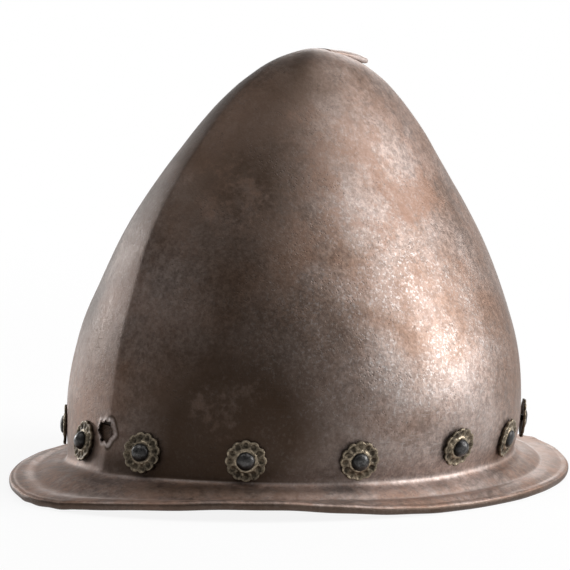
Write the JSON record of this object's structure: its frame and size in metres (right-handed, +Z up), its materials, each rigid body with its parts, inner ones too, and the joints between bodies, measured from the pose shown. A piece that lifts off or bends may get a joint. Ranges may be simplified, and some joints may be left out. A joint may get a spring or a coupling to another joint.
{
  "type": "cabasset helmet",
  "caption": "Almond-shaped iron open helmet with a median ridge, a small bent beak at the apex, a narrow turned-edge brim and brass rosettes under the lining rivets.",
  "frame": {"origin": "centre of the bounding box's base, on the plane that the turned edge stands on", "axes": "+Y to the rear, along the greatest length; -Y is the front; +X is the wearer's left; +Z is up"},
  "size_m": [0.2526, 0.3386, 0.2177],
  "materials": {
    "plate": "old browned iron, finely pitted, with rust-orange mottling and worn paler highlights",
    "rivet_iron": "grey-black domed iron, half polished",
    "rosette_brass": "dull olive-brown stamped brass",
    "plain_iron": "dark plain iron",
    "leather": "old dark brown strap leather"
  },
  "bodies": {
    "helmet": {"skull": "plate", "edge_wire": "plain_iron", "lining_strap_left": "leather", "lining_strap_right": "leather", "rivet_left_front": "rivet_iron", "rivet_left_front_side": "rivet_iron", "rivet_left_fore_side": "rivet_iron", "rivet_left_mid_side": "rivet_iron", "rivet_left_aft_side": "rivet_iron", "rivet_left_rear_side": "rivet_iron", "rivet_left_rear": "rivet_iron", "rivet_right_front": "rivet_iron", "rivet_right_front_side": "rivet_iron", "rivet_right_fore_side": "rivet_iron", "rivet_right_mid_side": "rivet_iron", "rivet_right_aft_side": "rivet_iron", "rivet_right_rear_side": "rivet_iron", "rivet_right_rear": "rivet_iron", "rosette_left_front": "rosette_brass", "rosette_left_front_side": "rosette_brass", "rosette_left_fore_side": "rosette_brass", "rosette_left_mid_side": "rosette_brass", "rosette_left_aft_side": "rosette_brass", "rosette_left_rear": "rosette_brass", "rosette_right_front": "rosette_brass", "rosette_right_front_side": "rosette_brass", "rosette_right_fore_side": "rosette_brass", "rosette_right_mid_side": "rosette_brass", "rosette_right_aft_side": "rosette_brass", "rosette_right_rear_side": "rosette_brass", "rosette_right_rear": "rosette_brass", "burr_left_front": "plain_iron", "burr_left_front_side": "plain_iron", "burr_left_fore_side": "plain_iron", "burr_left_mid_side": "plain_iron", "burr_left_aft_side": "plain_iron", "burr_left_rear_side": "plain_iron", "burr_left_rear": "plain_iron", "burr_right_front": "plain_iron", "burr_right_front_side": "plain_iron", "burr_right_fore_side": "plain_iron", "burr_right_mid_side": "plain_iron", "burr_right_aft_side": "plain_iron", "burr_right_rear_side": "plain_iron", "burr_right_rear": "plain_iron"},
    "loose_rosette": {"rosette_left_rear_side": "rosette_brass"}
  },
  "joints": [
    {"name": "rosette_turn", "type": "hinge", "parent": "helmet", "child": "loose_rosette", "pos_m": [0.07198, 0.08964, 0.03], "axis": [0.6855, 0.7249, -0.0677], "continuous": true}
  ]
}
